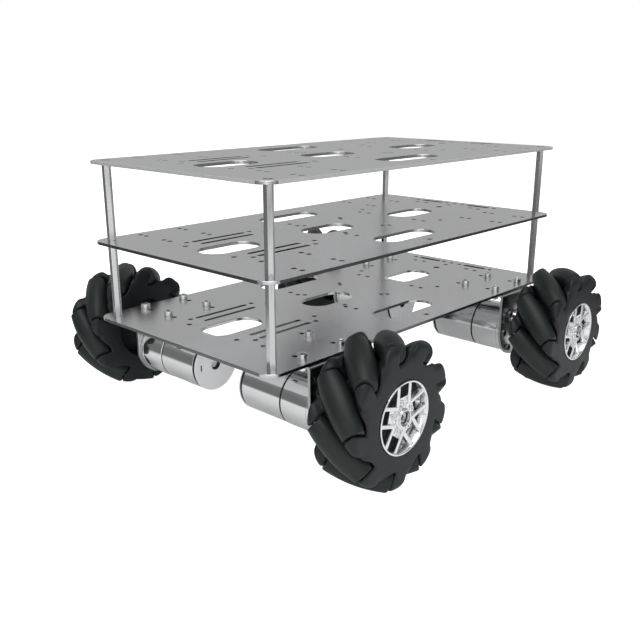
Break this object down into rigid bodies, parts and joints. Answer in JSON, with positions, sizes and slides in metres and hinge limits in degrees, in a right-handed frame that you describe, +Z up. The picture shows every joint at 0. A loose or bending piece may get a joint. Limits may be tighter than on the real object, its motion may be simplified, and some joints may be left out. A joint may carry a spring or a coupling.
{
  "type": "four wheel robot chassis",
  "caption": "Open robot base with stacked drilled aluminium decks on hexagonal standoffs, gearmotors on brackets under the lowest deck and roller wheels with bright rims.",
  "frame": {"origin": "on the ground, under the middle of the decks", "axes": "+X forward along the decks, +Y to the robot's left, +Z up"},
  "size_m": [0.31, 0.2776, 0.1721],
  "materials": {
    "deck": "satin, finely brushed, with brighter cut edges",
    "standoff": "bright drawn bar",
    "fastener": "bright zinc plate",
    "bracket": "smooth, bright",
    "motor_case": "turned and polished",
    "motor_cap": "satin disc on a dark neck",
    "black_plastic": "fine satin moulding",
    "roller": "matt moulded rubber",
    "rim": "bright plated",
    "steel": "turned steel"
  },
  "bodies": {
    "chassis": {"bottom_plate": "deck", "middle_plate": "deck", "top_plate": "deck", "lower_standoffs": "standoff", "upper_standoffs": "standoff", "standoff_screws": "fastener", "bracket_screws": "fastener", "motor_brackets": "bracket", "gearboxes": "motor_case", "gearbox_screws": "fastener", "motor_cans": "motor_case", "motor_end_caps": "motor_cap"},
    "front_left_wheel": {"front_left_hub": "black_plastic", "front_left_rim": "rim", "front_left_axle_and_pins": "steel"},
    "front_left_roller_1": {"front_left_roller_1": "roller"},
    "front_left_roller_2": {"front_left_roller_2": "roller"},
    "front_left_roller_3": {"front_left_roller_3": "roller"},
    "front_left_roller_4": {"front_left_roller_4": "roller"},
    "front_left_roller_5": {"front_left_roller_5": "roller"},
    "front_left_roller_6": {"front_left_roller_6": "roller"},
    "front_left_roller_7": {"front_left_roller_7": "roller"},
    "front_left_roller_8": {"front_left_roller_8": "roller"},
    "front_left_roller_9": {"front_left_roller_9": "roller"},
    "front_right_wheel": {"front_right_hub": "black_plastic", "front_right_rim": "rim", "front_right_axle_and_pins": "steel"},
    "front_right_roller_1": {"front_right_roller_1": "roller"},
    "front_right_roller_2": {"front_right_roller_2": "roller"},
    "front_right_roller_3": {"front_right_roller_3": "roller"},
    "front_right_roller_4": {"front_right_roller_4": "roller"},
    "front_right_roller_5": {"front_right_roller_5": "roller"},
    "front_right_roller_6": {"front_right_roller_6": "roller"},
    "front_right_roller_7": {"front_right_roller_7": "roller"},
    "front_right_roller_8": {"front_right_roller_8": "roller"},
    "front_right_roller_9": {"front_right_roller_9": "roller"},
    "rear_left_wheel": {"rear_left_hub": "black_plastic", "rear_left_rim": "rim", "rear_left_axle_and_pins": "steel"},
    "rear_left_roller_1": {"rear_left_roller_1": "roller"},
    "rear_left_roller_2": {"rear_left_roller_2": "roller"},
    "rear_left_roller_3": {"rear_left_roller_3": "roller"},
    "rear_left_roller_4": {"rear_left_roller_4": "roller"},
    "rear_left_roller_5": {"rear_left_roller_5": "roller"},
    "rear_left_roller_6": {"rear_left_roller_6": "roller"},
    "rear_left_roller_7": {"rear_left_roller_7": "roller"},
    "rear_left_roller_8": {"rear_left_roller_8": "roller"},
    "rear_left_roller_9": {"rear_left_roller_9": "roller"},
    "rear_right_wheel": {"rear_right_hub": "black_plastic", "rear_right_rim": "rim", "rear_right_axle_and_pins": "steel"},
    "rear_right_roller_1": {"rear_right_roller_1": "roller"},
    "rear_right_roller_2": {"rear_right_roller_2": "roller"},
    "rear_right_roller_3": {"rear_right_roller_3": "roller"},
    "rear_right_roller_4": {"rear_right_roller_4": "roller"},
    "rear_right_roller_5": {"rear_right_roller_5": "roller"},
    "rear_right_roller_6": {"rear_right_roller_6": "roller"},
    "rear_right_roller_7": {"rear_right_roller_7": "roller"},
    "rear_right_roller_8": {"rear_right_roller_8": "roller"},
    "rear_right_roller_9": {"rear_right_roller_9": "roller"}
  },
  "joints": [
    {"name": "front_left_wheel_spin", "type": "hinge", "parent": "chassis", "child": "front_left_wheel", "pos_m": [0.1052, 0.121, 0.0444], "axis": [0, 1, 0], "continuous": true},
    {"name": "front_left_roller_1_spin", "type": "hinge", "parent": "front_left_wheel", "child": "front_left_roller_1", "pos_m": [0.13881, 0.121, 0.0573], "axis": [0.2534, 0.7071, -0.6601], "continuous": true},
    {"name": "front_left_roller_2_spin", "type": "hinge", "parent": "front_left_wheel", "child": "front_left_roller_2", "pos_m": [0.12265, 0.121, 0.07589], "axis": [0.6184, 0.7071, -0.3428], "continuous": true},
    {"name": "front_left_roller_3_spin", "type": "hinge", "parent": "front_left_wheel", "child": "front_left_roller_3", "pos_m": [0.09833, 0.121, 0.07974], "axis": [0.6941, 0.7071, 0.1349], "continuous": true},
    {"name": "front_left_roller_4_spin", "type": "hinge", "parent": "front_left_wheel", "child": "front_left_roller_4", "pos_m": [0.07722, 0.121, 0.06706], "axis": [0.445, 0.7071, 0.5495], "continuous": true},
    {"name": "front_left_roller_5_spin", "type": "hinge", "parent": "front_left_wheel", "child": "front_left_roller_5", "pos_m": [0.06921, 0.121, 0.04377], "axis": [-0.0123, 0.7071, 0.707], "continuous": true},
    {"name": "front_left_roller_6_spin", "type": "hinge", "parent": "front_left_wheel", "child": "front_left_roller_6", "pos_m": [0.07803, 0.121, 0.02078], "axis": [-0.4639, 0.7071, 0.5337], "continuous": true},
    {"name": "front_left_roller_7_spin", "type": "hinge", "parent": "front_left_wheel", "child": "front_left_roller_7", "pos_m": [0.09957, 0.121, 0.00884], "axis": [-0.6984, 0.7071, 0.1106], "continuous": true},
    {"name": "front_left_roller_8_spin", "type": "hinge", "parent": "front_left_wheel", "child": "front_left_roller_8", "pos_m": [0.12374, 0.121, 0.01354], "axis": [-0.6061, 0.7071, -0.3642], "continuous": true},
    {"name": "front_left_roller_9_spin", "type": "hinge", "parent": "front_left_wheel", "child": "front_left_roller_9", "pos_m": [0.13924, 0.121, 0.03268], "axis": [-0.2302, 0.7071, -0.6686], "continuous": true},
    {"name": "front_right_wheel_spin", "type": "hinge", "parent": "chassis", "child": "front_right_wheel", "pos_m": [0.1052, -0.121, 0.0444], "axis": [0, 1, 0], "continuous": true},
    {"name": "front_right_roller_1_spin", "type": "hinge", "parent": "front_right_wheel", "child": "front_right_roller_1", "pos_m": [0.07159, -0.121, 0.0573], "axis": [-0.2534, -0.7071, -0.6601], "continuous": true},
    {"name": "front_right_roller_2_spin", "type": "hinge", "parent": "front_right_wheel", "child": "front_right_roller_2", "pos_m": [0.08775, -0.121, 0.07589], "axis": [-0.6184, -0.7071, -0.3428], "continuous": true},
    {"name": "front_right_roller_3_spin", "type": "hinge", "parent": "front_right_wheel", "child": "front_right_roller_3", "pos_m": [0.11207, -0.121, 0.07974], "axis": [-0.6941, -0.7071, 0.1349], "continuous": true},
    {"name": "front_right_roller_4_spin", "type": "hinge", "parent": "front_right_wheel", "child": "front_right_roller_4", "pos_m": [0.13318, -0.121, 0.06706], "axis": [-0.445, -0.7071, 0.5495], "continuous": true},
    {"name": "front_right_roller_5_spin", "type": "hinge", "parent": "front_right_wheel", "child": "front_right_roller_5", "pos_m": [0.14119, -0.121, 0.04377], "axis": [0.0123, -0.7071, 0.707], "continuous": true},
    {"name": "front_right_roller_6_spin", "type": "hinge", "parent": "front_right_wheel", "child": "front_right_roller_6", "pos_m": [0.13237, -0.121, 0.02078], "axis": [0.4639, -0.7071, 0.5337], "continuous": true},
    {"name": "front_right_roller_7_spin", "type": "hinge", "parent": "front_right_wheel", "child": "front_right_roller_7", "pos_m": [0.11083, -0.121, 0.00884], "axis": [0.6984, -0.7071, 0.1106], "continuous": true},
    {"name": "front_right_roller_8_spin", "type": "hinge", "parent": "front_right_wheel", "child": "front_right_roller_8", "pos_m": [0.08666, -0.121, 0.01354], "axis": [0.6061, -0.7071, -0.3642], "continuous": true},
    {"name": "front_right_roller_9_spin", "type": "hinge", "parent": "front_right_wheel", "child": "front_right_roller_9", "pos_m": [0.07116, -0.121, 0.03268], "axis": [0.2302, -0.7071, -0.6686], "continuous": true},
    {"name": "rear_left_wheel_spin", "type": "hinge", "parent": "chassis", "child": "rear_left_wheel", "pos_m": [-0.1052, 0.121, 0.0444], "axis": [0, 1, 0], "continuous": true},
    {"name": "rear_left_roller_1_spin", "type": "hinge", "parent": "rear_left_wheel", "child": "rear_left_roller_1", "pos_m": [-0.07159, 0.121, 0.0573], "axis": [0.2534, 0.7071, -0.6601], "continuous": true},
    {"name": "rear_left_roller_2_spin", "type": "hinge", "parent": "rear_left_wheel", "child": "rear_left_roller_2", "pos_m": [-0.08775, 0.121, 0.07589], "axis": [0.6184, 0.7071, -0.3428], "continuous": true},
    {"name": "rear_left_roller_3_spin", "type": "hinge", "parent": "rear_left_wheel", "child": "rear_left_roller_3", "pos_m": [-0.11207, 0.121, 0.07974], "axis": [0.6941, 0.7071, 0.1349], "continuous": true},
    {"name": "rear_left_roller_4_spin", "type": "hinge", "parent": "rear_left_wheel", "child": "rear_left_roller_4", "pos_m": [-0.13318, 0.121, 0.06706], "axis": [0.445, 0.7071, 0.5495], "continuous": true},
    {"name": "rear_left_roller_5_spin", "type": "hinge", "parent": "rear_left_wheel", "child": "rear_left_roller_5", "pos_m": [-0.14119, 0.121, 0.04377], "axis": [-0.0123, 0.7071, 0.707], "continuous": true},
    {"name": "rear_left_roller_6_spin", "type": "hinge", "parent": "rear_left_wheel", "child": "rear_left_roller_6", "pos_m": [-0.13237, 0.121, 0.02078], "axis": [-0.4639, 0.7071, 0.5337], "continuous": true},
    {"name": "rear_left_roller_7_spin", "type": "hinge", "parent": "rear_left_wheel", "child": "rear_left_roller_7", "pos_m": [-0.11083, 0.121, 0.00884], "axis": [-0.6984, 0.7071, 0.1106], "continuous": true},
    {"name": "rear_left_roller_8_spin", "type": "hinge", "parent": "rear_left_wheel", "child": "rear_left_roller_8", "pos_m": [-0.08666, 0.121, 0.01354], "axis": [-0.6061, 0.7071, -0.3642], "continuous": true},
    {"name": "rear_left_roller_9_spin", "type": "hinge", "parent": "rear_left_wheel", "child": "rear_left_roller_9", "pos_m": [-0.07116, 0.121, 0.03268], "axis": [-0.2302, 0.7071, -0.6686], "continuous": true},
    {"name": "rear_right_wheel_spin", "type": "hinge", "parent": "chassis", "child": "rear_right_wheel", "pos_m": [-0.1052, -0.121, 0.0444], "axis": [0, 1, 0], "continuous": true},
    {"name": "rear_right_roller_1_spin", "type": "hinge", "parent": "rear_right_wheel", "child": "rear_right_roller_1", "pos_m": [-0.13881, -0.121, 0.0573], "axis": [-0.2534, -0.7071, -0.6601], "continuous": true},
    {"name": "rear_right_roller_2_spin", "type": "hinge", "parent": "rear_right_wheel", "child": "rear_right_roller_2", "pos_m": [-0.12265, -0.121, 0.07589], "axis": [-0.6184, -0.7071, -0.3428], "continuous": true},
    {"name": "rear_right_roller_3_spin", "type": "hinge", "parent": "rear_right_wheel", "child": "rear_right_roller_3", "pos_m": [-0.09833, -0.121, 0.07974], "axis": [-0.6941, -0.7071, 0.1349], "continuous": true},
    {"name": "rear_right_roller_4_spin", "type": "hinge", "parent": "rear_right_wheel", "child": "rear_right_roller_4", "pos_m": [-0.07722, -0.121, 0.06706], "axis": [-0.445, -0.7071, 0.5495], "continuous": true},
    {"name": "rear_right_roller_5_spin", "type": "hinge", "parent": "rear_right_wheel", "child": "rear_right_roller_5", "pos_m": [-0.06921, -0.121, 0.04377], "axis": [0.0123, -0.7071, 0.707], "continuous": true},
    {"name": "rear_right_roller_6_spin", "type": "hinge", "parent": "rear_right_wheel", "child": "rear_right_roller_6", "pos_m": [-0.07803, -0.121, 0.02078], "axis": [0.4639, -0.7071, 0.5337], "continuous": true},
    {"name": "rear_right_roller_7_spin", "type": "hinge", "parent": "rear_right_wheel", "child": "rear_right_roller_7", "pos_m": [-0.09957, -0.121, 0.00884], "axis": [0.6984, -0.7071, 0.1106], "continuous": true},
    {"name": "rear_right_roller_8_spin", "type": "hinge", "parent": "rear_right_wheel", "child": "rear_right_roller_8", "pos_m": [-0.12374, -0.121, 0.01354], "axis": [0.6061, -0.7071, -0.3642], "continuous": true},
    {"name": "rear_right_roller_9_spin", "type": "hinge", "parent": "rear_right_wheel", "child": "rear_right_roller_9", "pos_m": [-0.13924, -0.121, 0.03268], "axis": [0.2302, -0.7071, -0.6686], "continuous": true}
  ]
}
